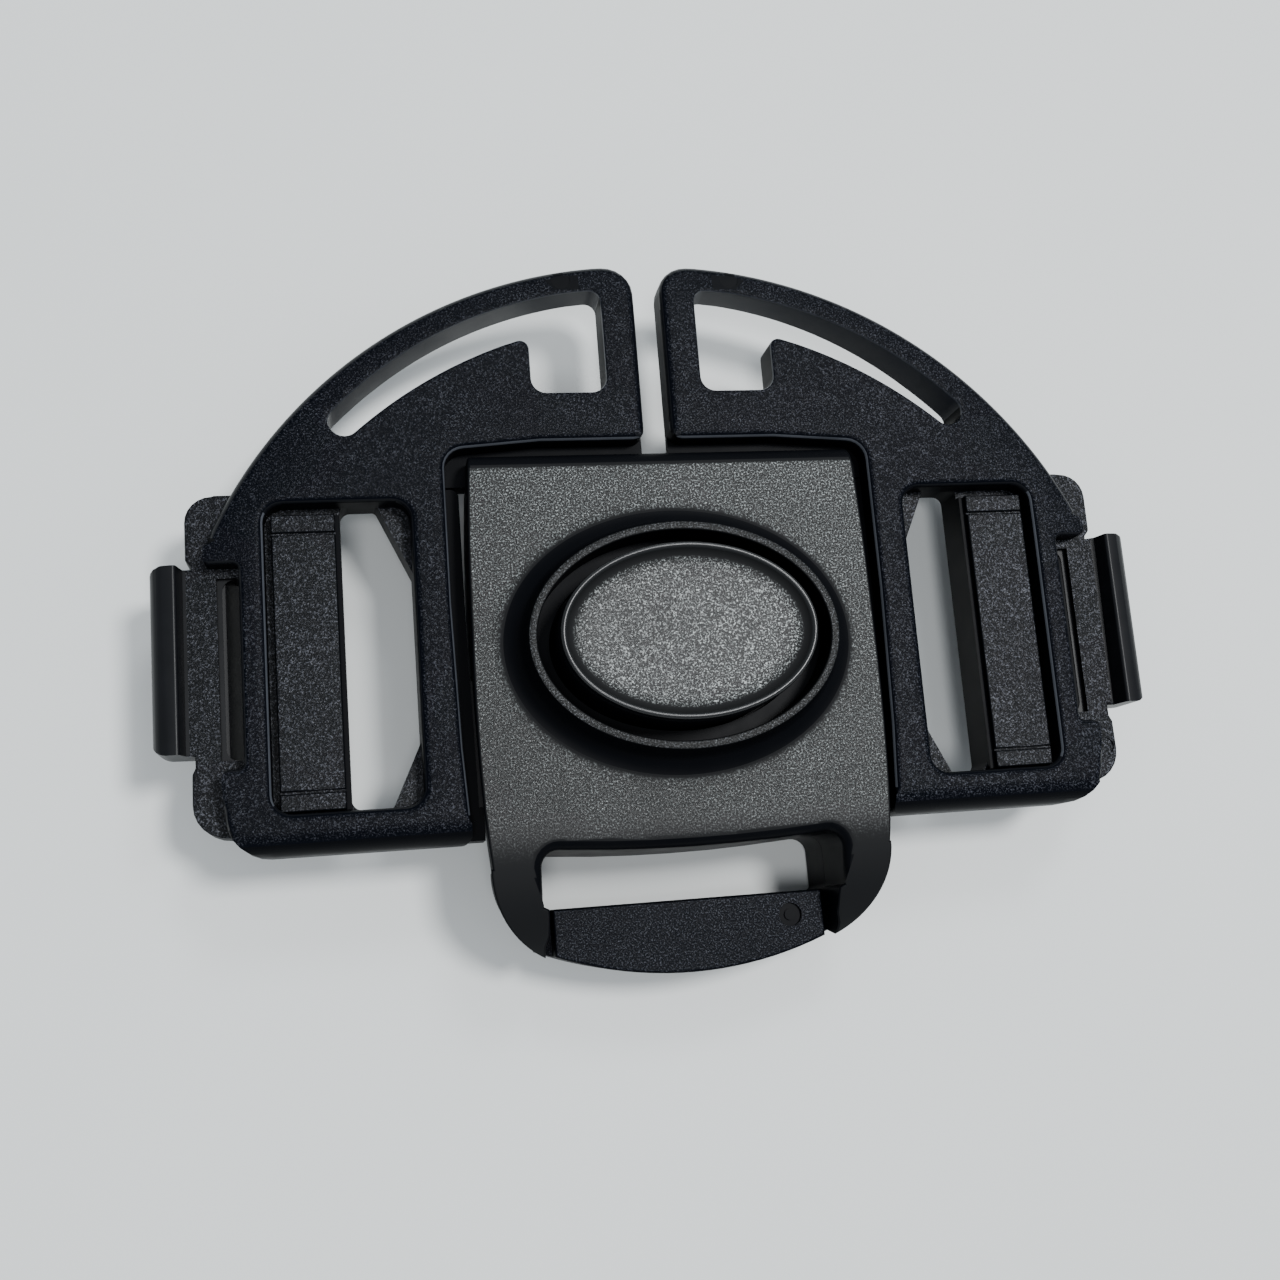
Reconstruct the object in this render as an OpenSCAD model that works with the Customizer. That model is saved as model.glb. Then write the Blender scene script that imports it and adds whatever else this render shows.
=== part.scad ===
// Five-point harness buckle for 25 mm webbing, fastened and lying on its back.
// Millimetres. x = 0 is the symmetry plane, the button's centre is at x = y = 0 and the
// buckle rests on z = 0. The crotch strap bar points to -y, the shoulder wings to +y.

/* [Levels above the resting face] */
// Underside of the front cover, on the back cover
split_z = 6.4; // [6:0.1:7]
// Top of the housing panel
panel_z = 14.4; // [14:0.1:15]
// Crest of the bezel ring round the button
ring_z = 18.2; // [17.6:0.1:18.6]
// Rim of the button
button_z = 20.4; // [20:0.1:21]
// Face of the crotch strap bar
crotch_bar_z = 9; // [8.5:0.1:10]
// Underside of the waist plates
plate_low_z = 6.3; // [6:0.1:6.5]
// Top of the waist plates and their ears
plate_z = 10.3; // [10:0.1:10.5]
// Top of the waist strap bar
bar_z = 11.8; // [11.4:0.1:12.4]
// Crest of the grip lip
grip_z = 12.3; // [11.8:0.1:12.8]
// Underside of the wings' thick rim
wing_low_z = 8; // [7.6:0.1:8.4]
// Top of the wings
wing_z = 13; // [12.8:0.1:13.4]

/* [Housing] */
// Half width of the panel at its widest
panel_half = 19.8; // [19.7:0.05:19.9]
// Height on the page at which the panel is widest
panel_wide_y = 2.5; // [0:0.5:4]
// Radius of the panel's barrel-shaped sides
panel_side_r = 240; // [220:10:300]
// Top edge of the panel
panel_top_y = 19.5; // [19.2:0.1:19.7]
// Rounding along the panel's top edge
panel_edge_r = 1.9; // [1.5:0.1:2.2]
// Radius of the arms' outer curve
arm_r = 8.6; // [8.4:0.1:8.8]
// Centre of the arms' outer curve
arm_centre = [10.2, -20.9];
// Inner edge of the arms below the crotch slot
arm_inner_x = 14.1; // [13.9:0.05:14.3]
// Radius of the bend by which the arms drop towards their tips, and where it starts
arm_drop_r = 13.5; // [13:0.5:15]
arm_drop_y = -18.5; // [-18.8:0.1:-18]
// Half length of the crotch strap slot
crotch_slot_half = 14.7; // [14.5:0.1:14.8]
// Top edge of the crotch slot at its ends and at the point of its bulge
crotch_slot_y = [-19.1, -20.3];
// Rounding of the slot's upper and lower corners, and of its bulge
crotch_slot_r = [1.6, 0.5, 150];
// Top edge of the crotch strap bar
crotch_bar_y = -24.65; // [-24.8:0.05:-24.5]
// Radius and centre height of the bar's curved outer edge
crotch_bar_curve = [37.65, 6];
// Half length of the bar's face between the arms
crotch_bar_half = 13.45; // [13.2:0.05:13.6]
// Round mark in the bar's face: its centre
bar_mark = [10.05, -26.9];
// Radius, depth and width of its ring
bar_mark_ring = [1.15, 0.35, 0.6];

/* [Button] */
// Half axes of the button
button_half = [12.4, 8.55];
// Half axes of the bezel ring's outer edge
ring_half = [15, 10.95];
// Width of the ring's crest
ring_w = 0.75; // [0.6:0.05:0.9]
// Spread of the collar's foot beyond the ring
collar_spread = 2.2; // [1.8:0.1:2.4]
// Depth of the dish in the button's face
dish_depth = 1.5; // [1:0.1:1.8]
// Width of the button's rim
rim_w = 0.6; // [0.5:0.05:0.8]
// Travel of the button when pressed
button_travel = 2.2; // [1.5:0.1:2.4]
// Width and height of the flange that keeps the button in
button_flange = [1.2, 1.6];

/* [Shoulder wings] */
// Half of the gap between the two wings
wing_gap_half = 1.35; // [1.2:0.05:1.5]
// Centre and radius of the outer arch
arch_centre = [1.3, -7.3];
arch_r = 47.15; // [47:0.05:47.3]
// Centre and radius of the strap slot's outer edge
slot_outer_centre = [2.3, -4.6];
slot_outer_r = 41.7; // [41.6:0.05:41.8]
// Centre and radius of the strap slot's inner edge
slot_inner_centre = [-0.55, -12.6];
slot_inner_r = 46.4; // [46.3:0.05:46.5]
// Centre and radius of the round end of the strap slot
slot_end_centre = [31, 23.5];
slot_end_r = 1.55; // [1.5:0.05:1.6]
// Left, right and bottom edge of the pocket at the slot's inner end
pocket = [4.9, 12.5, 26.05];
// Bottom edge of the wings
wing_bottom_y = -18; // [-18.2:0.1:-17.9]
// Rounding along the wings' bottom edge
bottom_edge_r = 2.6; // [2:0.1:2.6]
// Notch for the grip: its edge in x, its lower and its upper end
notch = [41.4, -9.8, 9.7];
// Rounding along the notch
notch_edge_r = 1.6; // [1:0.1:2]
// Window: left, right, bottom and top edge
window = [25.1, 39, -14.2, 15.35];
// Centre of the ejector pin's mark on the arch, its radius and its depth
arch_mark = [8.8, 38.1];
arch_mark_size = [0.95, 0.2];
// Top of the shelf that runs from the wings' lower edge to the housing, and its outer end
shelf = [10.3, 22.5];
// Left, right and inner edge of the tongue that goes from the shelf into the housing
wing_tongue = [4, 14, 14];

/* [Waist adjusters] */
// Bottom and top edge of the plates
plate_y = [-15.9, 17];
// Outer edge of the ears
ear_x = 46.5; // [46.3:0.1:46.7]
// Left and right edge of the raised strap bar
bar_x = [32.3, 38.35];
// Lower and upper end of the raised strap bar
bar_y = [-14, 14.5];
// Grooves that part the bar's pad from its ends: their places, width and depth
pad_groove_y = [-12.2, 12.6];
pad_groove = [0.2, 0.3];
// Centre of the ejector pin's mark on the lower ear, its radius and its depth
ear_mark = [45.1, -12.4];
ear_mark_size = [0.9, 0.2];
// Depth by which the smooth base stands out beyond the textured pads
pad_step = 0.45; // [0.3:0.05:0.5]
// Outer edge of the grip lip
grip_x = 49.9; // [49.7:0.1:50.2]
// Lower and upper end of the grip lip
grip_y = [-8.1, 9.8];
// Inner end, lower and upper edge of the tongue that locks into the housing
tongue = [14.9, -14.5, -2.2];

/* [Hidden] */
// Clearance between pieces that lie on each other
seat = 0.1;
// Clearance between pieces that slide or plug together
play = 0.3;
// Overlap that makes cuts run past a face
past = 1;
// Steps in a rounded corner and in a long arc
corner_steps = 6;
arc_steps = 24;
$fn = 96;

function xy(p) = [p[0], p[1]];

function unit(v) = v / norm(v);

// Points on a circle, written as sharp corners of an outline
function arc(centre, r, from, to, steps = arc_steps) = [
    for (i = [0 : steps])
        let (a = from + (to - from) * i / steps)
        [centre[0] + r * cos(a), centre[1] + r * sin(a), 0]
];

// Corner b between its neighbours a and c, rounded with radius r
function bend(a, b, c, r) =
    let (
        u = unit(a - b),
        w = unit(c - b),
        half = acos(u * w) / 2,
        centre = b + unit(u + w) * r / sin(half),
        start = b + u * r / tan(half) - centre,
        end = b + w * r / tan(half) - centre,
        from = atan2(start[1], start[0]),
        turn = atan2(end[1], end[0]) - from,
        sweep = turn > 180 ? turn - 360 : turn < -180 ? turn + 360 : turn
    )
    [for (p = arc(centre, r, from, from + sweep, corner_steps)) xy(p)];

// Outline through corners that are written as [x, y, radius]
function outline(corners) =
    let (n = len(corners))
    [
        for (i = [0 : n - 1])
            let (b = corners[i])
            for (p = b[2] == 0 ? [xy(b)]
                : bend(xy(corners[(i + n - 1) % n]), xy(b), xy(corners[(i + 1) % n]), b[2]))
                p
    ];

// Angle of point p as seen from a centre
function angle_of(p, centre) = atan2(p[1] - centre[1], p[0] - centre[0]);

// Slab between two levels
module slab(low, high) {
    translate([0, 0, low]) linear_extrude(height = high - low) children();
}

module box(low, high) {
    translate(low) cube(high - low);
}

// Upright oval disc or cone with half axes in the given proportion
module oval(half, low, high, grow_low = 0, grow_high = 0) {
    translate([0, 0, low])
        scale([1, half[1] / half[0], 1])
            cylinder(r1 = half[0] + grow_low, r2 = half[0] + grow_high, h = high - low);
}

// Round recess in a face at level z
module round_mark(centre, z, r, depth) {
    translate([centre[0], centre[1], z - depth]) cylinder(r = r, h = depth + past);
}

// What has to go to round an edge that runs along x at (y, z); side is the way out
module edge_cut_x(y, z, r, side, half_length) {
    difference() {
        box([-half_length, min(y - side * r, y + side * past), z - r],
            [half_length, max(y - side * r, y + side * past), z + past]);
        translate([-half_length - past, y - side * r, z - r])
            rotate([0, 90, 0])
                cylinder(r = r, h = 2 * (half_length + past));
    }
}

module both_sides() {
    children();
    mirror([1, 0, 0]) children();
}

// Barrel-shaped plan of the housing, without its arms
module barrel(inset = 0) {
    r = panel_side_r - inset;
    intersection() {
        translate([panel_half - panel_side_r, panel_wide_y]) circle(r = r, $fn = 720);
        translate([panel_side_r - panel_half, panel_wide_y]) circle(r = r, $fn = 720);
        translate([-panel_half, arm_centre[1]])
            square([2 * panel_half, panel_top_y - inset - arm_centre[1]]);
    }
}

// Arms that run down beside the crotch slot to their tips
module arms(inset = 0) {
    low_y = arm_centre[1] - arm_r;
    both_sides()
        intersection() {
            translate(arm_centre) circle(r = arm_r - inset);
            translate([arm_inner_x, low_y])
                square([arm_r, arm_centre[1] - low_y + play]);
        }
}

// Space below the panel's top, which bends down where the arms start
module arm_drop() {
    reach = 3 * panel_half;
    box([-reach / 2, arm_drop_y, 0], [reach / 2, panel_top_y + past, panel_z]);
    translate([0, arm_drop_y, panel_z - arm_drop_r])
        rotate([0, 90, 0])
            cylinder(r = arm_drop_r, h = reach, center = true);
}

// Crotch slot, whose top edge bulges downwards
module crotch_slot() {
    polygon(outline([
        [-crotch_slot_half, crotch_bar_y, crotch_slot_r[1]],
        [crotch_slot_half, crotch_bar_y, crotch_slot_r[1]],
        [crotch_slot_half, crotch_slot_y[0], crotch_slot_r[0]],
        [0, crotch_slot_y[1], crotch_slot_r[2]],
        [-crotch_slot_half, crotch_slot_y[0], crotch_slot_r[0]]
    ]));
}

// D-shaped plan of the crotch strap bar
module crotch_bar(half) {
    intersection() {
        translate([0, crotch_bar_curve[1]]) circle(r = crotch_bar_curve[0], $fn = 360);
        translate([-half, -40]) square([2 * half, 40 + crotch_bar_y]);
    }
}

// Space in the housing's sides for the waist tongues
module tongue_pockets() {
    both_sides()
        box([tongue[0] - play, tongue[1] - play, split_z - past],
            [panel_half + past, tongue[2] + play, plate_z]);
}

// Space in the housing's top edge for the wings' tongues
module wing_tongue_pockets() {
    both_sides()
        box([wing_tongue[0] - play, wing_tongue[2] - play, split_z - past],
            [wing_tongue[1] + play, panel_top_y + past, shelf[0] + play]);
}

module front_cover() {
    flange = button_flange[0];
    ledge_z = panel_z - 3.2;
    color("#2c2f31")
        difference() {
            union() {
                intersection() {
                    slab(split_z, panel_z) {
                        barrel();
                        arms();
                    }
                    arm_drop();
                }
                oval(ring_half, panel_z, panel_z + 0.9, collar_spread, collar_spread / 2);
                oval(ring_half, panel_z + 0.9, ring_z, collar_spread / 2, 0);
            }
            slab(split_z - past, panel_z + past) crotch_slot();
            edge_cut_x(panel_top_y, panel_z, panel_edge_r, 1, panel_half + past);
            oval(ring_half, panel_z - 0.2, ring_z + past, -ring_w, -ring_w);
            oval(button_half, split_z, ring_z, play, play);
            oval(button_half, split_z - past, ledge_z, flange + play, flange + play);
            tongue_pockets();
            wing_tongue_pockets();
        }
}

module back_cover() {
    top_z = split_z - seat;
    inset = 0.3;
    color("#1d1f24")
        union() {
            difference() {
                union() {
                    slab(0, top_z) {
                        barrel(inset);
                        arms(inset);
                        crotch_bar(crotch_slot_half);
                    }
                    slab(top_z, crotch_bar_z) crotch_bar(crotch_bar_half);
                }
                slab(-past, top_z + past) crotch_slot();
                round_mark(bar_mark, crotch_bar_z, bar_mark_ring[0], bar_mark_ring[1]);
            }
            translate([bar_mark[0], bar_mark[1], top_z])
                cylinder(r = bar_mark_ring[0] - bar_mark_ring[2], h = crotch_bar_z - top_z - 0.15);
        }
}

module release_button() {
    low_z = split_z + button_travel + 0.7;
    flange = button_flange[0];
    color("#34383a")
        difference() {
            union() {
                oval(button_half, low_z, button_z);
                oval(button_half, low_z, low_z + button_flange[1], flange, flange);
            }
            oval(button_half, button_z - dish_depth, button_z, -3, -rim_w);
        }
}

// Plan of the right wing, with the arch outside and the housing's corner left free
module wing_plan() {
    lip_x = 44.7;
    polygon(outline(concat(
        [
            [wing_gap_half, 21.1, 1.2],
            [12, 21.1, 0],
            [21.55, 20.35, 2],
            [21.6, 5, 0],
            [21.3, -9, 0],
            [20.8, wing_bottom_y, 0.8],
            [43, wing_bottom_y, 3.8],
            [43.5, notch[1], 0.8],
            [notch[0], notch[1], 0.6],
            [notch[0], notch[2], 0.6],
            [lip_x, notch[2], 0.6]
        ],
        arc(arch_centre, arch_r, 23.4, 85, 2 * arc_steps),
        [[wing_gap_half, arch_centre[1] + arch_r, 3]]
    )));
}

// Curved shoulder strap slot with the pocket and the hook tooth at its inner end
module strap_slot() {
    end_angle = angle_of(slot_end_centre, slot_outer_centre);
    tooth_y = slot_inner_centre[1] + sqrt(pow(slot_inner_r, 2) - pow(pocket[1] - slot_inner_centre[0], 2));
    inner_end = angle_of(slot_end_centre, slot_inner_centre);
    polygon(outline(concat(
        arc(slot_end_centre, slot_end_r, end_angle - 180, end_angle, 2 * corner_steps),
        arc(slot_outer_centre, slot_outer_r, end_angle + 1, 82),
        [
            [pocket[0], slot_outer_centre[1] + slot_outer_r - 0.1, 1.2],
            [pocket[0], pocket[2], 1.5],
            [pocket[1], pocket[2], 1.5],
            [pocket[1], tooth_y, 0.9]
        ],
        arc(slot_inner_centre, slot_inner_r, 70, inner_end + 0.5)
    )));
}

module window_plan() {
    polygon(outline([
        [window[0], window[2], 1.8],
        [window[1], window[2], 1.8],
        [window[1], window[3], 1.8],
        [window[0], window[3], 1.8]
    ]));
}

// Plan of the shelf between the right wing's lower edge and the housing's corner
module shelf_plan() {
    low_y = plate_y[1] + 0.2;
    difference() {
        translate([wing_gap_half, low_y]) square([shelf[1] - wing_gap_half, 22 - low_y]);
        barrel(-seat);
    }
}

// The wing's own parts, for the right side
module shoulder_wing() {
    recess_z = plate_z + seat;
    difference() {
        union() {
            slab(wing_low_z, wing_z)
                difference() {
                    wing_plan();
                    strap_slot();
                    window_plan();
                }
            slab(wing_low_z, shelf[0]) shelf_plan();
            box([wing_tongue[0], wing_tongue[2], wing_low_z], [wing_tongue[1], 22, shelf[0]]);
        }
        box([panel_half - past, plate_y[0] - 0.2, wing_low_z - past], [ear_x + past, plate_y[1] + 0.2, recess_z]);
        edge_cut_x(wing_bottom_y, wing_z, bottom_edge_r, -1, 2 * panel_half + 10);
        // The inner end of the rim is thinner than the rest
        translate([pocket[1] + 16, 0, wing_low_z])
            rotate([0, 3.2, 0])
                translate([-60, 19, -10])
                    cube([60, 30, 10]);
        round_mark(arch_mark, wing_z, arch_mark_size[0], arch_mark_size[1]);
        // Rounded edge along the notch
        translate([notch[0] - notch_edge_r, notch[1] - 0.6, 0])
            difference() {
                box([0, 0, wing_z - notch_edge_r], [notch_edge_r + past / 2, notch[2] - notch[1] + 1.2, wing_z + past]);
                translate([0, -past, wing_z - notch_edge_r])
                    rotate([-90, 0, 0])
                        cylinder(r = notch_edge_r, h = notch[2] - notch[1] + 2 * past + 1.2);
            }
    }
}

// Plan of the plate under the right wing, with the ears outside
module plate_plan() {
    polygon(outline([
        [20.2, plate_y[1], 0.8],
        [20.2, 2, 0],
        [19.95, plate_y[0], 0.8],
        [ear_x - 0.1, plate_y[0], 3.2],
        [ear_x - 0.2, -9.8, 0.4],
        [ear_x - 0.5, -9.2, 0],
        [ear_x - 0.5, 10.1, 0],
        [ear_x, 10.7, 0.5],
        [ear_x, plate_y[1], 2.6]
    ]));
}

// Strap slot beside the raised bar, with its cut-off corners
module inner_slot() {
    right = bar_x[0] - pad_step;
    polygon(outline([
        [window[0], -7.9, 0],
        [28, -14.1, 0.4],
        [right, -14.1, 1],
        [right, 15.9, 1],
        [28.4, 15.9, 0.5],
        [window[0], 8.7, 0]
    ]));
}

// Strap slot under the wing's edge, with the bay that the notch shows
module outer_slot() {
    polygon(outline([
        [39.7, -13.2, 0.8],
        [notch[0], -13.2, 0.8],
        [notch[0], -8.7, 0.3],
        [43.2, -8.7, 1.2],
        [43.2, 8.8, 1.2],
        [notch[0], 8.8, 0.3],
        [notch[0], 13.2, 0.8],
        [39.7, 13.2, 0.8]
    ]));
}

// Section of the grip lip across x and z: a steep inner wall and a round back
module grip_section() {
    foot_x = ear_x + 0.2;
    back_r = 1.9;
    polygon(outline([
        [foot_x - 1, plate_low_z + 0.2, 0],
        [grip_x - 0.5, plate_low_z + 0.9, 1.2],
        [grip_x, grip_z - 0.3, back_r],
        [foot_x + 0.5, grip_z, 0.35],
        [foot_x, plate_z, 0],
        [foot_x - 1, plate_z, 0]
    ]));
}

module grip() {
    intersection() {
        translate([0, grip_y[1], 0])
            rotate([90, 0, 0])
                linear_extrude(height = grip_y[1] - grip_y[0]) grip_section();
        slab(0, button_z)
            polygon(outline([
                [40, grip_y[0], 0],
                [grip_x - 0.1, grip_y[0], 1.5],
                [grip_x + 0.1, grip_y[1], 1.5],
                [40, grip_y[1], 0]
            ]));
    }
}

// The adjuster's own parts, for the right side
module waist_adjuster() {
    difference() {
        union() {
            slab(plate_low_z, plate_z)
                difference() {
                    plate_plan();
                    inner_slot();
                    outer_slot();
                }
            box([bar_x[0] - pad_step, bar_y[0], plate_low_z], [bar_x[1], bar_y[1], bar_z]);
            grip();
            box([tongue[0], tongue[1], plate_low_z + 0.4], [panel_half + 2, tongue[2], plate_z - 0.6]);
        }
        // The textured pads stand back from their smooth base
        box([bar_x[0] - pad_step - past, bar_y[0] - past, bar_z - 0.7], [bar_x[0], bar_y[1] + past, bar_z + past]);
        box([notch[0], -8.7, plate_z - 0.7], [43.2 + pad_step, 8.8, plate_z + past]);
        for (y = pad_groove_y)
            box([bar_x[0] - past, y - pad_groove[0] / 2, bar_z - pad_groove[1]],
                [bar_x[1] + past, y + pad_groove[0] / 2, bar_z + past]);
        round_mark(ear_mark, plate_z, ear_mark_size[0], ear_mark_size[1]);
    }
}

module right_shoulder_wing() {
    color("#212329") shoulder_wing();
}

module left_shoulder_wing() {
    color("#212329") mirror([1, 0, 0]) shoulder_wing();
}

module right_waist_adjuster() {
    color("#2a2c30") waist_adjuster();
}

module left_waist_adjuster() {
    color("#2a2c30") mirror([1, 0, 0]) waist_adjuster();
}

front_cover();
back_cover();
release_button();
left_shoulder_wing();
right_shoulder_wing();
left_waist_adjuster();
right_waist_adjuster();
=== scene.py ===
from math import hypot, pi, radians, sqrt

import bmesh
import bpy
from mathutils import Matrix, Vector


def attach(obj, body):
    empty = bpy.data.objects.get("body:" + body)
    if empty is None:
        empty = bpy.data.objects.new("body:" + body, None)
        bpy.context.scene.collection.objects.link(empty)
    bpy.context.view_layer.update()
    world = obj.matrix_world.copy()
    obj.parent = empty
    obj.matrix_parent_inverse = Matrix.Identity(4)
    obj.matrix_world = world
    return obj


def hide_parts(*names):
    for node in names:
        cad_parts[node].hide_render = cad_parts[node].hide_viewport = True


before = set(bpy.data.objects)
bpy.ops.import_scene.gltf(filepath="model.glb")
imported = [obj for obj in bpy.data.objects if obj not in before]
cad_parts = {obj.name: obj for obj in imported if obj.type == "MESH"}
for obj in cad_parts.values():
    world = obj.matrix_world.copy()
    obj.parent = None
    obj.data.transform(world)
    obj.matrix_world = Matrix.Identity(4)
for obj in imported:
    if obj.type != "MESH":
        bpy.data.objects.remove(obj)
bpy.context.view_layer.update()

mm = 0.001
body = "buckle"


# camera: held by hand over the buckle's lower left and tilted about 15 degrees
camera = {
    "place": (-30.61 * mm, -25.49 * mm, 154.51 * mm),
    "turn": (radians(11.05), radians(-9.97), radians(-4.54)),
    "focal": 1500,      # pixels in a picture that is 1280 wide
    "pictureWidth": 1280,
    "sensor": 36,
}


def setCamera():
    data = bpy.data.cameras.new("camera")
    data.sensor_width = camera["sensor"]
    data.lens = camera["focal"] / camera["pictureWidth"] * camera["sensor"]
    data.clip_start = 1 * mm
    holder = bpy.data.objects.new("camera", data)
    holder.location = camera["place"]
    holder.rotation_euler = camera["turn"]
    bpy.context.scene.collection.objects.link(holder)
    bpy.context.scene.camera = holder


# a window to the upper right with sky above it, a weaker lamp beside the camera and a dim room around
lights = {
    "window": {"place": (0.35, 0.16, 1.0), "size": 0.23, "power": 10.4, "colour": "fdfeff"},
    "lamp": {"place": (-0.14, -0.212, 1.0), "size": 0.29, "power": 3.9, "colour": "fafcff"},
    "skylight": {"place": (0.25, 0.75, 0.9), "size": 0.3, "power": 3.4, "colour": "f6fbff"},
    "room": {"colour": "c3cad2", "strength": 0.86},
    "aim": (0, 0, 0.01),
}


def linear(code):
    # sRGB hex to Blender's linear colour
    parts = [int(code[i:i + 2], 16) / 255 for i in (0, 2, 4)]
    return (*[p / 12.92 if p <= 0.04045 else ((p + 0.055) / 1.055) ** 2.4 for p in parts], 1)


def setLights():
    for name in ("window", "lamp", "skylight"):
        choice = lights[name]
        data = bpy.data.lights.new(name, "AREA")
        data.shape = "DISK"
        data.size = choice["size"]
        data.energy = choice["power"]
        data.color = linear(choice["colour"])[:3]
        holder = bpy.data.objects.new(name, data)
        holder.location = choice["place"]
        aim = Vector(lights["aim"]) - Vector(choice["place"])
        holder.rotation_euler = aim.to_track_quat("-Z", "Y").to_euler()
        bpy.context.scene.collection.objects.link(holder)
    world = bpy.data.worlds.new("room")
    world.use_nodes = True
    background = world.node_tree.nodes["Background"]
    background.inputs["Color"].default_value = linear(lights["room"]["colour"])
    background.inputs["Strength"].default_value = lights["room"]["strength"]
    bpy.context.scene.world = world


def addNode(tree, kind, inputs=None, **settings):
    # a node with its settings; an input is a value or another node's output
    node = tree.nodes.new(kind)
    for name, value in settings.items():
        setattr(node, name, value)
    for name, value in (inputs or {}).items():
        if isinstance(value, bpy.types.NodeSocket):
            tree.links.new(value, node.inputs[name])
        else:
            node.inputs[name].default_value = value
    return node


def noise(tree, place, size, detail, rough=0.5):
    # soft noise whose blobs are this many mm wide
    return addNode(tree, "ShaderNodeTexNoise", {
        "Vector": place, "Scale": 1 / (size * mm), "Detail": detail, "Roughness": rough}).outputs["Fac"]


def remap(tree, value, levels, results=(0, 1), **settings):
    # stretches what lies between two levels to two results
    return addNode(tree, "ShaderNodeMapRange", {
        "Value": value, "From Min": levels[0], "From Max": levels[1],
        "To Min": results[0], "To Max": results[1]}, **settings).outputs["Result"]


def combine(tree, operation, first, second):
    return addNode(tree, "ShaderNodeMath", {0: first, 1: second}, operation=operation).outputs["Value"]


def blend(tree, share, first, second, kind="RGBA"):
    return addNode(
        tree, "ShaderNodeMix", {"Factor": share, "A": first, "B": second}, data_type=kind).outputs["Result"]


def newMaterial(name, **sockets):
    material = bpy.data.materials.new(name)
    material.use_nodes = True
    shader = material.node_tree.nodes["Principled BSDF"]
    for socket, value in sockets.items():
        shader.inputs[socket.replace("_", " ")].default_value = value
    return material, material.node_tree, shader


acetalIor = 1.48

# black acetal: faces that look up carry the fine sand of a spark-eroded mould, light grains
# over near-black pits; the grains' light tone is a painted glint, set per part partly by the light it
# catches;
# walls and roundings drew smooth from the mould and stay darker
# the last entry of each skin is painted light: which way its sand gets lighter, and how fast for each metre
skins = {
    "housing": {
        "pit": "000101", "grainWithGlint": "8b9190", "smooth": "020305", "grainSize": 0.18, "height": 0.065,
        "rough": 0.26, "specular": 0.23, "level": (0.982, 0.9995), "fade": (-20.8 * mm, -15.5 * mm),
        "paintedLightSlope": (8, 18, 0)},
    "bezel": {
        "pit": "000101", "grainWithGlint": "54575a", "smooth": "020305", "grainSize": 0.18, "height": 0.06,
        "rough": 0.34, "specular": 0.18, "level": (0.90, 0.98), "paintedLightSlope": (0, 0, 0)},
    "button": {
        "pit": "010202", "grainWithGlint": "b5bab8", "smooth": "040506", "grainSize": 0.175, "height": 0.065,
        "rough": 0.27, "specular": 0.36, "level": (0.84, 0.96), "paintedLightSlope": (12, -10, 0)},
    "wing": {
        "pit": "000207", "grainWithGlint": "3f4148", "smooth": "02040a", "grainSize": 0.17, "height": 0.055,
        "rough": 0.28, "specular": 0.055, "level": (0.80, 0.93), "paintedLightSlope": (5, -4, 0)},
    "adjuster": {
        "pit": "000205", "grainWithGlint": "54565d", "smooth": "030508", "grainSize": 0.17, "height": 0.055,
        "rough": 0.28, "specular": 0.10, "level": (0.93, 0.985), "paintedLightSlope": (3, 0, 0)},
}

# how the sand is scattered, the same on every part
scatter = {
    "bright": (0.52, 0.68),     # a grain shows where its noise lies between these
    "clump": 0.8,               # the sand gathers in clumps, this many mm wide
    "clumped": (0.45, 1.15),    # the share of grains between them and in them
    "patch": 7,                 # and is rubbed off in patches, this many mm wide
    "wearAndPaintedLight": (0.7, 1.1),         # the share of grains in the patches and between them, with the painted light slope added
    "middle": (0.3, 0.7),       # the levels that clumps and patches swing between
    "raised": (0.35, 0.65),     # the levels of a pit and of a raised grain
    "polish": (0.2, -0.08),     # and how much rougher and smoother they are
    "slopeRough": 0.7,
}


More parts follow.
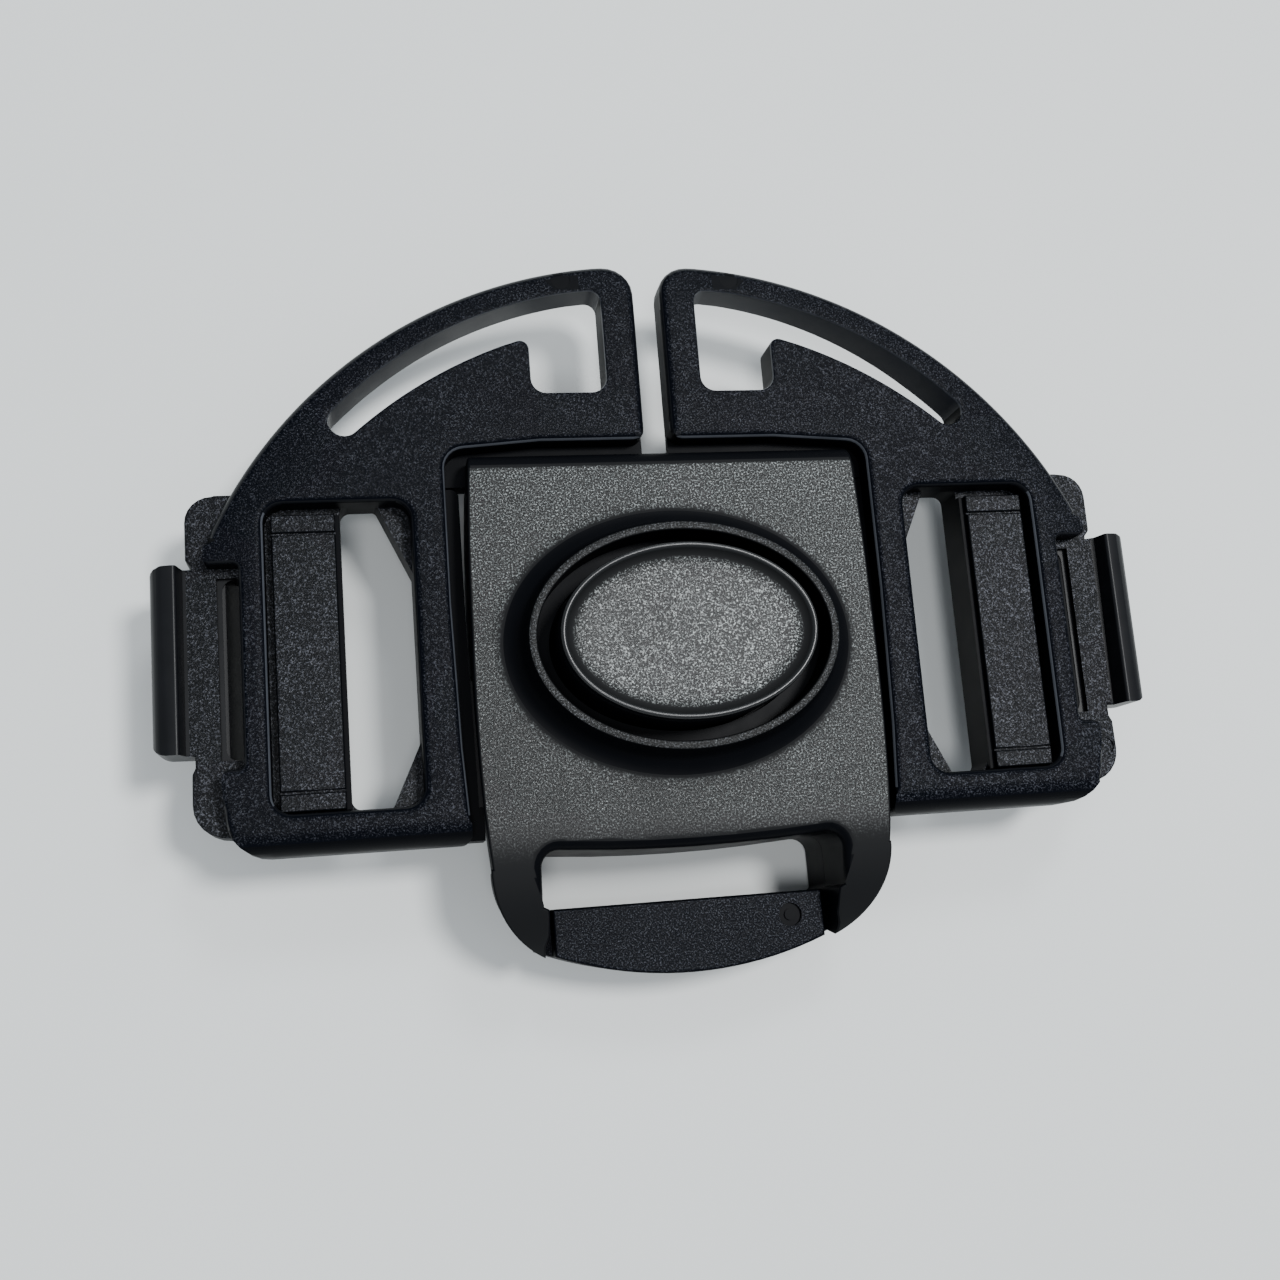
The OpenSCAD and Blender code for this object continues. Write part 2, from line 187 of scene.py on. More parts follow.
def sandMoulded(part):
    skin = skins[part]
    material, tree, shader = newMaterial(
        part + " acetal, spark-eroded", Roughness=skin["rough"], IOR=acetalIor,
        Specular_IOR_Level=skin["specular"])
    coordinates = addNode(tree, "ShaderNodeTexCoord")
    place = coordinates.outputs["Object"]
    upward = addNode(tree, "ShaderNodeSeparateXYZ", {"Vector": coordinates.outputs["Normal"]})
    sandShare = remap(tree, upward.outputs["Z"], skin["level"], interpolation_type="SMOOTHSTEP")
    if "fade" in skin:
        # the grain fades out between these two heights on the page, leaving the arms below smooth and darker
        across = addNode(tree, "ShaderNodeSeparateXYZ", {"Vector": place})
        kept = remap(tree, across.outputs["Y"], skin["fade"], interpolation_type="SMOOTHSTEP")
        sandShare = combine(tree, "MULTIPLY", sandShare, kept)

    grains = noise(tree, place, skin["grainSize"], 2, 0.7)
    clumps = noise(tree, place, scatter["clump"], 2, 0.6)
    patches = noise(tree, place, scatter["patch"], 2)
    # painted light: the sand gets more light grains towards the side the light falls on; each part's skin
    # says which way that is, and how fast for each metre
    along = addNode(tree, "ShaderNodeVectorMath", {0: place, 1: skin["paintedLightSlope"]}, operation="DOT_PRODUCT")
    patchesAndPaintedLight = combine(tree, "ADD", patches, along.outputs["Value"])
    bright = remap(tree, grains, scatter["bright"])
    clumped = remap(tree, clumps, scatter["middle"], scatter["clumped"])
    # random worn patches together with the painted light towards the lit side
    wearAndPaintedLight = remap(tree, patchesAndPaintedLight, scatter["middle"], scatter["wearAndPaintedLight"], clamp=False)
    amount = combine(tree, "MULTIPLY", combine(tree, "MULTIPLY", bright, clumped), wearAndPaintedLight)
    # the light grain colour over the real sand pattern is a painted glint
    sandColour = blend(tree, amount, linear(skin["pit"]), linear(skin["grainWithGlint"]))
    colour = blend(tree, sandShare, linear(skin["smooth"]), sandColour)
    tree.links.new(colour, shader.inputs["Base Color"])

    # raised grains are polished, pits are dull, and so are the slopes that drew from the mould
    polish = remap(tree, grains, scatter["raised"], [skin["rough"] + step for step in scatter["polish"]])
    rough = blend(tree, sandShare, scatter["slopeRough"], polish, "FLOAT")
    tree.links.new(rough, shader.inputs["Roughness"])
    bump = addNode(tree, "ShaderNodeBump", {
        "Height": grains, "Strength": sandShare, "Distance": skin["height"] * mm})
    tree.links.new(bump.outputs["Normal"], shader.inputs["Normal"])
    return material


# the same acetal where the mould was only machined: smooth walls with a soft sheen
sheenLook = {
    "flow": 4,                  # the tone drifts over this many mm
    "gloss": (-0.06, 0.08),     # and the roughness by so much either way
    "fine": 0.5,                # tool marks: their width in mm, strength and height
    "fineStrength": 0.2,
    "fineHeight": 0.01,
}


def smoothMoulded(name, base, sheen, rough, specular):
    material, tree, shader = newMaterial(name, Roughness=rough, IOR=acetalIor, Specular_IOR_Level=specular)
    place = addNode(tree, "ShaderNodeTexCoord").outputs["Object"]
    flow = noise(tree, place, sheenLook["flow"], 3, 0.55)
    gloss = remap(tree, flow, (0, 1), [rough + step for step in sheenLook["gloss"]])
    tree.links.new(gloss, shader.inputs["Roughness"])
    tree.links.new(blend(tree, flow, linear(base), linear(sheen)), shader.inputs["Base Color"])
    bump = addNode(tree, "ShaderNodeBump", {
        "Height": noise(tree, place, sheenLook["fine"], 2), "Strength": sheenLook["fineStrength"],
        "Distance": sheenLook["fineHeight"] * mm})
    tree.links.new(bump.outputs["Normal"], shader.inputs["Normal"])
    return material


smoothWall = smoothMoulded("smooth black acetal, machined mould", "040508", "07080b", 0.42, 0.05)
smoothEdge = smoothMoulded("smooth black acetal, drawn edge", "090a0d", "0f1115", 0.36, 0.20)
# a light grey line painted on the upper part of some roundings as a highlight
paintedEdgeHighlight = smoothMoulded("smooth black acetal, painted edge highlight", "33363b", "4a4d53", 0.32, 0.50)
# the strap slot's outer wall faces down the page and is painted lighter for the floor's reflection and the
# light from the front
paintedLitSlotWall = smoothMoulded("smooth black acetal, slot wall with painted light", "13151c", "1f222b", 0.36, 0.25)
rubbedRim = smoothMoulded("smooth black acetal, rubbed by fingers", "0b0c0d", "131516", 0.30, 0.50)
smoothStrip = smoothMoulded("smooth grey-black acetal, polished mould", "090a0c", "101114", 0.36, 0.18)
housingSkin = sandMoulded("housing")
wingSkin = sandMoulded("wing")
adjusterSkin = sandMoulded("adjuster")
buttonSkin = sandMoulded("button")
bezelSkin = sandMoulded("bezel")


# how near is the same point, level or face, and which angles are flat, a corner and sharp
near = {
    "weld": 0.002 * mm,
    "mend": 0.004 * mm,
    "cut": 0.001 * mm,
    "spun": 0.0005 * mm,
    "level": 0.01 * mm,
    "bend": 0.02 * mm,
    "face": 0.1 * mm,
    "flat": radians(0.5),
    "corner": radians(60),
    "sharp": radians(38),
}


def within(value, span):
    return span[0] < value < span[1]


def flatten(bm):
    # flat faces that were cut into triangles are made whole again
    bmesh.ops.dissolve_limit(bm, angle_limit=near["flat"], verts=bm.verts, edges=bm.edges)


def mergedCopy(node):
    # a CAD node's mesh with its triangles welded together
    bm = bmesh.new()
    bm.from_mesh(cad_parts[node].data)
    bmesh.ops.remove_doubles(bm, verts=bm.verts, dist=near["weld"])
    flatten(bm)
    return bm


def cutAcross(bm, point, direction):
    # adds the edges along which a plane crosses the piece
    bmesh.ops.bisect_plane(
        bm, geom=bm.verts[:] + bm.edges[:] + bm.faces[:], dist=near["cut"], plane_co=point,
        plane_no=direction)


def cornerEdges(bm, levels, where=None):
    # edges with a corner, whose ends both lie between two levels in mm
    low, high = levels
    return [
        e for e in bm.edges
        if len(e.link_faces) == 2 and e.calc_face_angle() > near["corner"]
        and all(low * mm <= v.co.z <= high * mm for v in e.verts)
        and (where is None or all(where(v.co.x / mm, v.co.y / mm) for v in e.verts))
    ]


def soften(bm, edges, width, segments=3):
    bmesh.ops.bevel(
        bm, geom=edges, offset=width * mm, offset_type="OFFSET", segments=segments,
        profile=0.5, affect="EDGES", material=-1, clamp_overlap=False)


def finishPiece(name, bm, materials, replaced, bodyName=body, finish=None):
    # finish picks a face's material by its middle in mm and its normal
    for edge in bm.edges:
        edge.smooth = len(edge.link_faces) != 2 or edge.calc_face_angle() < near["sharp"]
    for face in bm.faces:
        face.smooth = True
        face.material_index = finish(face.calc_center_median() / mm, face.normal) if finish else 0
    mesh = bpy.data.meshes.new(name)
    bm.to_mesh(mesh)
    bm.free()
    for material in materials:
        mesh.materials.append(material)
    piece = bpy.data.objects.new(name, mesh)
    bpy.context.scene.collection.objects.link(piece)
    weighted = piece.modifiers.new("flat faces stay flat", "WEIGHTED_NORMAL")
    weighted.keep_sharp = True
    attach(piece, bodyName)
    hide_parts(replaced)


# wings: outer edges rounded by nearly a millimetre, window and slot edges just broken
wing = {
    "top": (12.9, 13.1),            # levels of the upper and lower face
    "under": (7.9, 8.1),
    "topFace": 13,
    "outerEdge": 0.85,
    "windowEdge": 0.75,
    "notchEdge": 0.5,
    "slotEdge": 0.25,
    "lowEdge": 0.2,
    "archCentre": (1.3, -7.3),
    "archEdge": (12, 45.9),         # the outer edge lies above this height and outside this radius
    "gap": ((1.6, 21), (4.2, 37.2)),    # or this near the middle and above this height
    "slotFrom": 21.35,              # the strap slot lies above, window and panel below
    "notchStart": (40, -12),        # the window's and panel's rounding ends here
    "notch": ((41.2, 44.6), (-10.2, 10)),
    "notchFill": ((39.75, 41.95), (-10.45, 10.35), 11.3),   # the CAD's rounding there, above this level
    "mark": (8.8, 38.1, 0.95),      # the ejector pin's round mark: centre and radius
    "markFloor": 12.66,
    "markSides": 40,
    "markCutter": 2,                # how tall its cutter is
    "recess": (12.5, 12.95, 1.0),   # where the mark is in the CAD: two levels and a radius
    "grid": ((-45, 45), (-15, 39)),     # the faces are cut up every 2 mm so that they can bend
    "gridStep": 2,
    "ridge": (27, 27),              # the crown's corner: it falls from there to the panel
    "fall": 0.003,
    "archFall": (41, 0.011),        # and from this radius to the outer edge of the arch
    "crown": (10.5, 2),             # the crown starts at this level and is full 2 mm higher up
    "foot": ((19.5, 21.6), (-17.7, -14.6), (6.6, 10.2)),
}

# how a wing's faces are told apart
wingFaces = {
    "wall": 0.2,                    # a face that looks up less than this is a wall
    "edge": 0.8,                    # and less than this a rounding
    "paintedHighlight": 0.35,                 # the painted highlight covers the roundings down to this
    "inward": -0.3,                 # the strap slot's outer wall looks down the page
    "shelf": 11,                    # the shelf and its walls lie below this level
    "slot": (4, 23),                # the strap slot lies this far out and this high
    "lowBand": -15.2,               # the rounding below this height stays unpolished
    "markInside": 0.93,
    "besidePanel": 24.9,
    "besideBar": ((38.5, 40), (-13.5, 14.6)),
}


def fromArch(x, y):
    return hypot(abs(x) - wing["archCentre"][0], y - wing["archCentre"][1])


def nearMark(x, y, reach):
    return hypot(abs(x) - wing["mark"][0], y - wing["mark"][1]) < reach


def onOuterEdge(x, y):
    # along the arch and down the gap between the wings
    beside = any(abs(x) < inner and y > low for inner, low in wing["gap"])
    return beside or (y > wing["archEdge"][0] and fromArch(x, y) > wing["archEdge"][1])


def onPanelSide(x, y):
    # along the window and the panel, up to the notch, which has its own rounding
    beforeNotch = abs(x) < wing["notchStart"][0] or y < wing["notchStart"][1]
    return y < wing["slotFrom"] and not onOuterEdge(x, y) and beforeNotch


def onNotch(x, y):
    return within(abs(x), wing["notch"][0]) and within(y, wing["notch"][1])


def onSlot(x, y):
    return y >= wing["slotFrom"] and not onOuterEdge(x, y)


def crownDrop(x, y):
    # the wings are slightly crowned: how far their surface lies below its top
    drop = wing["archFall"][1] * max(0, fromArch(x, y) - wing["archFall"][0]) ** 2
    across = (wing["ridge"][0] - abs(x)) / 2
    up = wing["ridge"][1] - y
    if across > 0 and up > 0:
        # the square of the shorter way to the ridge, with a soft turn between the two
        drop += wing["fall"] * (across ** -4 + up ** -4) ** -0.5
    return drop


def cutMark(bm):
    # the pin's mark is cut through the arch's rounding once that is there
    x, y, r = wing["mark"]
    tall = wing["markCutter"]
    cutter = bmesh.new()
    bmesh.ops.create_cone(
        cutter, cap_ends=True, segments=wing["markSides"], radius1=r * mm, radius2=r * mm, depth=tall * mm)
    bmesh.ops.translate(
        cutter, vec=(-x * mm, y * mm, (wing["markFloor"] + tall / 2) * mm), verts=cutter.verts)
    pair = []
    for shape in (bm, cutter):
        mesh = bpy.data.meshes.new("cut")
        shape.to_mesh(mesh)
        shape.free()
        pair.append(bpy.data.objects.new("cut", mesh))
        bpy.context.scene.collection.objects.link(pair[-1])
    cut = pair[0].modifiers.new("cut", "BOOLEAN")
    cut.operation = "DIFFERENCE"
    cut.solver = "EXACT"
    cut.object = pair[1]
    result = bmesh.new()
    result.from_object(pair[0], bpy.context.evaluated_depsgraph_get())
    for thing in pair:
        mesh = thing.data
        bpy.data.objects.remove(thing)
        bpy.data.meshes.remove(mesh)
    return result


def closeRecess(bm):
    # the CAD's mark stands in the rounding's way, so it is closed first and cut again last
    low, high, reach = wing["recess"]
    recess = [
        v for v in bm.verts
        if low * mm < v.co.z < high * mm and nearMark(v.co.x / mm, v.co.y / mm, reach)]
    bmesh.ops.delete(bm, geom=recess, context="VERTS")


def fillNotch(bm):
    # the notch gets a small rounding like the other edges, so its large one is filled up
    spanX, spanY, level = wing["notchFill"]
    for vert in bm.verts:
        x, y, z = abs(vert.co.x) / mm, vert.co.y / mm, vert.co.z / mm
        if within(x, spanX) and within(y, spanY) and z > level:
            vert.co.z = wing["topFace"] * mm


def buildWing(side):
    # the left wing is shaped, and turned over for the right one
    bm = mergedCopy("left_shoulder_wing")
    closeRecess(bm)
    fillNotch(bm)
    bmesh.ops.remove_doubles(bm, verts=bm.verts, dist=near["mend"])
    bmesh.ops.dissolve_degenerate(bm, edges=bm.edges, dist=near["mend"])
    rim = [e for e in bm.edges if len(e.link_faces) == 1]
    bmesh.ops.triangle_fill(bm, edges=rim, use_beauty=True, normal=(0, 0, 1))
    flatten(bm)

    soften(bm, cornerEdges(bm, wing["top"], onSlot), wing["slotEdge"], 2)
    soften(bm, cornerEdges(bm, wing["top"], onPanelSide), wing["windowEdge"], 4)
    soften(bm, cornerEdges(bm, wing["top"], onNotch), wing["notchEdge"], 3)
    soften(bm, cornerEdges(bm, wing["top"], onOuterEdge), wing["outerEdge"], 4)
    soften(bm, cornerEdges(bm, wing["under"], onOuterEdge), wing["lowEdge"], 2)

    for axis, (first, last) in enumerate(wing["grid"]):
        direction = [int(i == axis) for i in range(3)]
        for place in range(first, last, wing["gridStep"]):
            cutAcross(bm, [place * mm * part for part in direction], direction)
    level, over = wing["crown"]
    for vert in bm.verts:
        share = max(0, min(1, (vert.co.z / mm - level) / over))
        vert.co.z -= share * crownDrop(vert.co.x / mm, vert.co.y / mm) * mm
    bm = cutMark(bm)
    if side == "right":
        for vert in bm.verts:
            vert.co.x *= -1
        bmesh.ops.reverse_faces(bm, faces=bm.faces)

    def finish(middle, normal):
        # 0 on the sanded faces, 1 on walls, the shelf and the mark, 2 on drawn edges,
        # 3 on edges with a painted highlight and 4 on the strap slot's outer wall, which has painted light
        x, y = abs(middle.x), middle.y
        inSlot = y > wingFaces["slot"][1] and x > wingFaces["slot"][0] and onSlot(x, y)
        # the slot's outer wall takes the material with painted light
        if inSlot and normal.z < wingFaces["wall"] and normal.y < wingFaces["inward"]:
            return 4
        onWall = normal.z < wingFaces["wall"] or nearMark(x, y, wingFaces["markInside"])
        if middle.z < wingFaces["shelf"] or onWall:
            return 1
        if normal.z >= wingFaces["edge"]:
            return 0
        if y < wingFaces["lowBand"]:
            return 1
        besidePanel = x < wingFaces["besidePanel"] and onPanelSide(x, y)
        besideBar = within(x, wingFaces["besideBar"][0]) and within(y, wingFaces["besideBar"][1])
        # the highlight is painted on the roundings beside the panel, beside the bar and in the strap slot
        paintedHighlight = besidePanel or besideBar or inSlot
        return 3 if paintedHighlight and normal.z > wingFaces["paintedHighlight"] else 2

    finishPiece(
        side + "Wing", bm, (wingSkin, smoothWall, smoothEdge, paintedEdgeHighlight, paintedLitSlotWall),
        side + "_shoulder_wing", finish=finish)


def buildWingFoot(side):
    # a low foot on the wing closes the gap to the housing below the adjuster
    bm = bmesh.new()
    way = 1 if side == "right" else -1
    (inner, outer), (low, high), (under, over) = wing["foot"]
    bmesh.ops.create_cube(bm, size=1)
    for vert in bm.verts:
        vert.co.x = way * (outer if vert.co.x * way > 0 else inner) * mm
        vert.co.y = (high if vert.co.y > 0 else low) * mm
        vert.co.z = (over if vert.co.z > 0 else under) * mm
    bmesh.ops.recalc_face_normals(bm, faces=bm.faces)
    finishPiece(side + "WingFoot", bm, (smoothWall,), side + "_shoulder_wing")


# waist adjusters: crisp pads on a smooth grey-black base
adjuster = {
    "pads": (11.7, 11.9),           # levels of the pads and of the ears
    "ears": (10.25, 10.35),
    "padEdge": 0.18,
    "earEdge": 0.25,
    "earFrom": 43.9,
    "mark": (45.1, -12.4, 1.2),     # round mark on the lower ear, kept crisp
    "panelSide": 22.5,              # the sand starts here
    "barBase": (11.0, 11.2),        # levels beside the bar's pad and beside the grip's
    "gripBase": (9.5, 9.7),
    "grip": (46.45, 9),             # the grip lies outside this and above this level
    "flat": 0.9,
    "wall": 0.5,
    "bay": (-8.68, 8.78),           # lower and upper end of the bay beside the grip's pad
    "baySlope": [(43.3, 9.5), (42.9, 9.35), (41.75, 6.75), (41.75, 6.4), (43.3, 6.4)],
}


def onEar(x, y):
    markX, markY, reach = adjuster["mark"]
    marked = hypot(abs(x) - markX, y - markY) < reach
    return abs(x) > adjuster["earFrom"] and not marked


def buildAdjuster(side):
    bm = mergedCopy(side + "_waist_adjuster")
    soften(bm, cornerEdges(bm, adjuster["pads"]), adjuster["padEdge"], 2)
    soften(bm, cornerEdges(bm, adjuster["ears"], onEar), adjuster["earEdge"], 2)
    for way in (-1, 1):
        cutAcross(bm, (way * adjuster["panelSide"] * mm, 0, 0), (1, 0, 0))

    def finish(middle, normal):
        # 0 on the sanded faces, 1 beside the panel and the bar's pad, 2 beside the grip's pad and on the grip
        level = normal.z > adjuster["flat"]
        besideBar = level and within(middle.z, adjuster["barBase"])
        besideGrip = level and within(middle.z, adjuster["gripBase"])
        onGrip = abs(middle.x) > adjuster["grip"][0] and middle.z > adjuster["grip"][1]
        if besideGrip or onGrip:
            return 2
        besidePanel = abs(middle.x) < adjuster["panelSide"]
        return int(besidePanel or besideBar or normal.z < adjuster["wall"])

    finishPiece(
        side + "Adjuster", bm, (adjusterSkin, smoothWall, smoothStrip), side + "_waist_adjuster",
        finish=finish)


def buildBaySlope(side):
    # the bay's outer wall slopes in under the wing and leads the strap into its slot
    bm = bmesh.new()
    way = 1 if side == "right" else -1
    low, high = adjuster["bay"]
    verts = [bm.verts.new((way * x * mm, low * mm, z * mm)) for x, z in adjuster["baySlope"]]
    face = bm.faces.new(verts)
    grown = bmesh.ops.extrude_face_region(bm, geom=[face])["geom"]
    moved = [v for v in grown if isinstance(v, bmesh.types.BMVert)]
    bmesh.ops.translate(bm, vec=(0, (high - low) * mm, 0), verts=moved)
    bmesh.ops.recalc_face_normals(bm, faces=bm.faces)
    finishPiece(side + "BaySlope", bm, (smoothStrip,), side + "_waist_adjuster")


# housing: the front cover's arms are stood up level while its edges are rounded, then bent down again
housing = {
    "split": 6.4,               # underside of the front cover
    "panel": 14.4,              # its top
    "panelTop": (14.39, 14.41),
    "outsideTop": (12.4, 14.41),
    "bendStart": -18.5,         # where the arms start to drop, and the radius of that bend
    "bendRadius": 13.5,
    "bendSteps": 24,            # the bend is cut up this often, this far apart
    "bendStep": 0.45,
    "slotEdge": 1.15,           # rounding along the crotch slot's upper edge
    "slot": (14.8, (-24.2, -18)),
    "sideEdge": 0.3,            # and along the outside and the arms' tips
    "moat": (14.25, 10.3, 1.1), # oval round the collar's foot, and how far out it counts
    "moatTop": 14.3,
    "sanded": 0.93,
    "flare": (0.2, 0.7),        # how far the top stands out over the sides, at the panel and at the arms
    "flareFrom": (17.6, 2.5, 18),   # outside this, and from this height down over this length
    "armCentre": (10.2, -20.9),
    "armRadius": 7.4,
    "armStep": (14.15, -24.65), # where the slot ends on the arms' inner edges
    "armStepReach": 0.5,
}


def panelDrop(y):
    # how far the panel's surface lies below its top at height y on the page
    run = max(0, min(housing["bendStart"] - y, housing["bendRadius"] - 1))
    return housing["bendRadius"] - sqrt(housing["bendRadius"] ** 2 - run ** 2)


def flareOut(co, above):
    # the sides lean out towards the top, most at the arms, so that no wall shows beside them
    way = 1 if co.x > 0 else -1
    armX, armY = housing["armCentre"]
    least, most = housing["flare"]
    outside, start, length = housing["flareFrom"]
    if co.y > armY * mm and abs(co.x) > outside * mm:
        low = max(0, min(1, (start - co.y / mm) / length))
        co.x += way * above * (least + (most - least) * low) * mm
    elif co.y <= armY * mm:
        off = Vector((abs(co.x) / mm - armX, co.y / mm - armY))
        if off.x > 0 and off.length > housing["armRadius"]:
            out = off.normalized() * above * most * mm
            co.x += way * out.x
            co.y += out.y


def alongSlot(x, y):
    return abs(x) < housing["slot"][0] and within(y, housing["slot"][1])


def outOfMoat(x, y):
    halfX, halfY, reach = housing["moat"]
    return hypot(x / halfX, y / halfY) > reach


def alongOutside(x, y):
    return not alongSlot(x, y) and outOfMoat(x, y)


def buildFrontCover():
    bm = mergedCopy("front_cover")
    low, top = housing["split"] * mm, housing["panel"] * mm
    # the collar is a spun piece of its own, and the arms come up to the panel's level
    for vert in bm.verts:
        pastBend = vert.co.y < housing["bendStart"] * mm + near["bend"]
        onArm = pastBend and vert.co.z > low + near["face"]
        if onArm or vert.co.z > top:
            vert.co.z = top
    # the slot's lower corners and the arms' tips are left with one corner each
    stepX, stepY = housing["armStep"]
    for side in (-1, 1):
        for level in (low, top):
            corner = [
                v for v in bm.verts if abs(v.co.z - level) < near["level"]
                and hypot(v.co.x / mm - side * stepX, v.co.y / mm - stepY) < housing["armStepReach"]]
            bmesh.ops.pointmerge(bm, verts=corner, merge_co=(side * stepX * mm, stepY * mm, level))
    bmesh.ops.dissolve_degenerate(bm, edges=bm.edges, dist=near["weld"])
    flatten(bm)
    soften(bm, cornerEdges(bm, housing["panelTop"], alongSlot), housing["slotEdge"], 5)
    soften(bm, cornerEdges(bm, housing["outsideTop"], alongOutside), housing["sideEdge"], 3)

    for i in range(housing["bendSteps"]):
        cutAcross(bm, (0, (housing["bendStart"] - housing["bendStep"] * i) * mm, 0), (0, 1, 0))
    for vert in bm.verts:
        above = (vert.co.z - low) / (top - low)
        if not alongSlot(vert.co.x / mm, vert.co.y / mm):
            flareOut(vert.co, above)
        vert.co.z -= above * panelDrop(vert.co.y / mm) * mm

    def finish(middle, normal):
        # 0 on the sanded panel, 1 on the walls and in the moat, which the collar covers
        inMoat = middle.z < housing["moatTop"] and not outOfMoat(middle.x, middle.y)
        return int(inMoat or normal.z < housing["sanded"])

    finishPiece("frontCover", bm, (housingSkin, smoothWall), "front_cover", finish=finish)


def ovalPlace(bm, half, solidCore):
    # bends a round spun shape to an oval, keeping widths near the rim even all the way round
    for vert in bm.verts:
        reach = hypot(vert.co.x, vert.co.y)
        if reach < near["spun"]:
            continue
        c, s = vert.co.x / reach, vert.co.y / reach
        off = reach - half[0] * mm
        size = 1
        if off < -solidCore * mm:
            size = reach / ((half[0] - solidCore) * mm)
            off = -solidCore * mm
        steep = hypot(half[1] * c, half[0] * s)
        vert.co.x = size * (half[0] * mm * c + off * half[1] * c / steep)
        vert.co.y = size * (half[1] * mm * s + off * half[0] * s / steep)


def spunOval(profile, half, closed, solidCore=4, steps=144):
    # profile points are (way out from the oval, height) in mm; it is spun into a full turn
    bm = bmesh.new()
    verts = [bm.verts.new(((half[0] + off) * mm, 0, z * mm)) for off, z in profile]
    edges = [bm.edges.new(pair) for pair in zip(verts, verts[1:])]
    if closed:
        edges.append(bm.edges.new((verts[-1], verts[0])))
    bmesh.ops.spin(
        bm, geom=verts + edges, cent=(0, 0, 0), axis=(0, 0, 1), angle=2 * pi, steps=steps, use_merge=True)
    bmesh.ops.remove_doubles(bm, verts=bm.verts, dist=near["spun"])
    ovalPlace(bm, half, solidCore)
    bmesh.ops.recalc_face_normals(bm, faces=bm.faces)
    return bm


# collar: a concave flank that rises from the panel to the narrow bezel ring
collar = {
    "half": (15, 10.95),
    "crest": (17.8, 0.3),       # the ring's crest lies above this level and looks up more than this
    "sanded": 0.97,
    "profile": [
        (-0.78, 14.15), (-0.78, 17.9), (-0.76, 18.08), (-0.7, 18.17), (-0.62, 18.2), (-0.08, 18.2),
        (0.0, 18.17), (0.05, 18.0), (0.09, 17.6), (0.15, 17.0), (0.26, 16.4), (0.42, 15.85),
        (0.64, 15.4), (0.95, 15.05), (1.3, 14.82), (1.7, 14.65), (2.1, 14.54), (2.5, 14.47),
        (2.9, 14.43), (3.2, 14.41), (3.3, 14.2),
    ],
}


def buildCollar():
    bm = spunOval(collar["profile"], collar["half"], True)
    crestLevel, crestNormal = collar["crest"]

    def finish(middle, normal):
        # 0 on the foot, 1 on the flank, 2 on the ring's crest
        if middle.z > crestLevel and normal.z > crestNormal:
            return 2
        return int(normal.z < collar["sanded"])

    finishPiece(
        "bezelCollar", bm, (housingSkin, smoothWall, bezelSkin), "front_cover",
        finish=finish)


# button: rim bead, a fillet down to the shallow dish, a ledge below the rim, a flange in the housing
button = {
    "half": (12.4, 8.55),
    "rim": 20.05,
    "dish": 0.97,
    "profile": [
        (-12.4, 18.94), (-10, 18.945), (-8, 18.96), (-6, 19.0), (-4.4, 19.05), (-3.2, 19.12),
        (-2.5, 19.2), (-2.0, 19.27), (-1.6, 19.38), (-1.25, 19.55), (-0.98, 19.76), (-0.8, 19.96),
        (-0.7, 20.12), (-0.62, 20.26), (-0.52, 20.35), (-0.4, 20.39), (-0.26, 20.37), (-0.15, 20.28),
        (-0.09, 20.12), (-0.08, 19.4), (-0.06, 19.3), (-0.02, 19.25), (0, 19.15), (0, 10.9), (0.82, 10.9),
        (0.82, 9.3), (-12.4, 9.3),
    ],
}


def buildButton():
    bm = spunOval(button["profile"], button["half"], False)
    halfX, halfY = button["half"]

    def finish(middle, normal):
        # 0 in the dish, 1 on the wall outside, 2 on the rim
        if middle.z > button["rim"]:
            return 2
        return int(hypot(middle.x / halfX, middle.y / halfY) > button["dish"])

    finishPiece(
        "pushButton", bm, (buttonSkin, smoothWall, rubbedRim), "release_button", "button",
        finish)


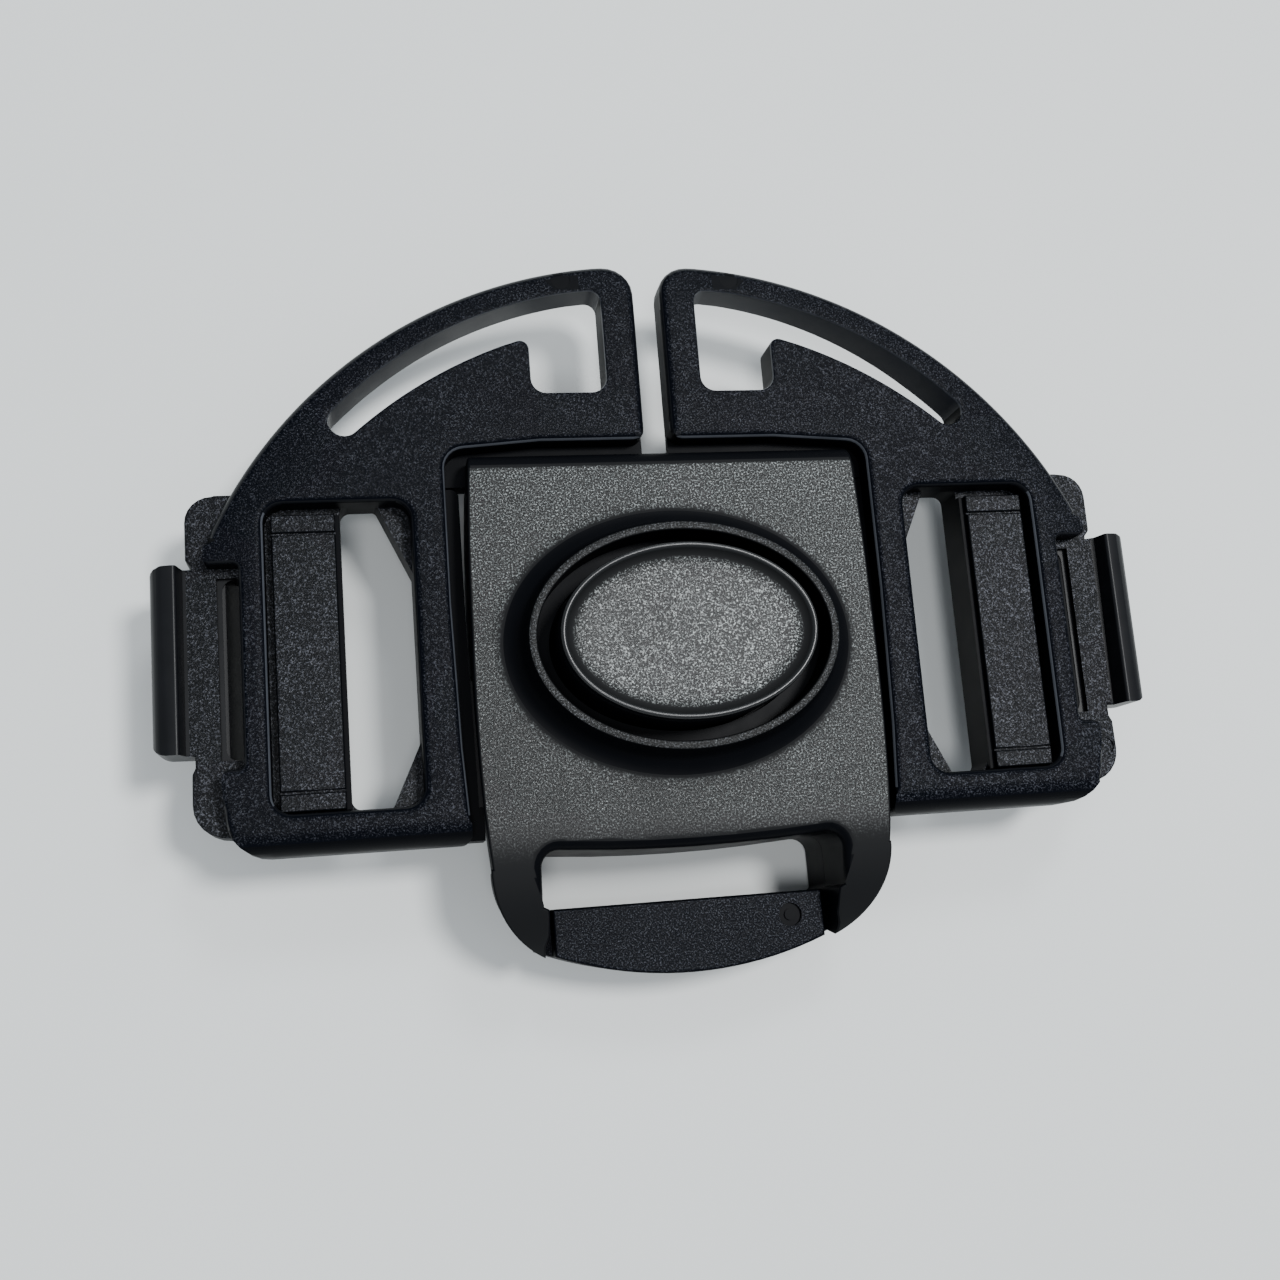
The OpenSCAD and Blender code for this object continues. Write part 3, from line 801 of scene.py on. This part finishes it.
# back cover: flat where it rests, with the crotch strap bar and the round gate mark in it
back = {
    "bar": (8.95, 9.05),        # levels of the bar's top and of the resting face
    "rest": (-0.1, 0.1),
    "barEdge": 0.3,
    "restEdge": 0.5,
    "mark": (10.05, -26.9, 1.4),
    "sanded": 0.9,
}


def awayFromMark(x, y):
    markX, markY, reach = back["mark"]
    return hypot(x - markX, y - markY) > reach


def buildBackCover():
    bm = mergedCopy("back_cover")
    soften(bm, cornerEdges(bm, back["bar"], awayFromMark), back["barEdge"])
    soften(bm, cornerEdges(bm, back["rest"]), back["restEdge"])

    def finish(middle, normal):
        # 0 on the sanded faces, 1 on the walls and in the mark
        inMark = not awayFromMark(middle.x, middle.y) and middle.z < back["bar"][0]
        return int(inMark or abs(normal.z) < back["sanded"])

    finishPiece("backCover", bm, (wingSkin, smoothWall), "back_cover", finish=finish)


# floor: a sheet of white laminate, faintly mottled
floor = {
    "reach": 1.6,
    "level": -0.02,
    "colour": "dcdedc",
    "mottle": "d6d9d7",
    "mottleSize": 30,
    "rough": 0.55,
    "ior": 1.5,
}


def buildFloor():
    bm = bmesh.new()
    bmesh.ops.create_grid(bm, x_segments=1, y_segments=1, size=floor["reach"])
    bmesh.ops.translate(bm, vec=(0, 0, floor["level"] * mm), verts=bm.verts)
    mesh = bpy.data.meshes.new("floor")
    bm.to_mesh(mesh)
    bm.free()
    material, tree, shader = newMaterial("white laminate", Roughness=floor["rough"], IOR=floor["ior"])
    place = addNode(tree, "ShaderNodeTexCoord").outputs["Object"]
    mottle = noise(tree, place, floor["mottleSize"], 4)
    tone = blend(tree, mottle, linear(floor["colour"]), linear(floor["mottle"]))
    tree.links.new(tone, shader.inputs["Base Color"])
    mesh.materials.append(material)
    piece = bpy.data.objects.new("floor", mesh)
    bpy.context.scene.collection.objects.link(piece)


setCamera()
setLights()
buildFloor()
print("camera, lights and floor are set")
for side in ("left", "right"):
    buildWing(side)
    buildWingFoot(side)
    buildAdjuster(side)
    buildBaySlope(side)
print("wings and waist adjusters are built")
buildFrontCover()
buildCollar()
buildBackCover()
print("housing is built")
buildButton()
print("button is built")
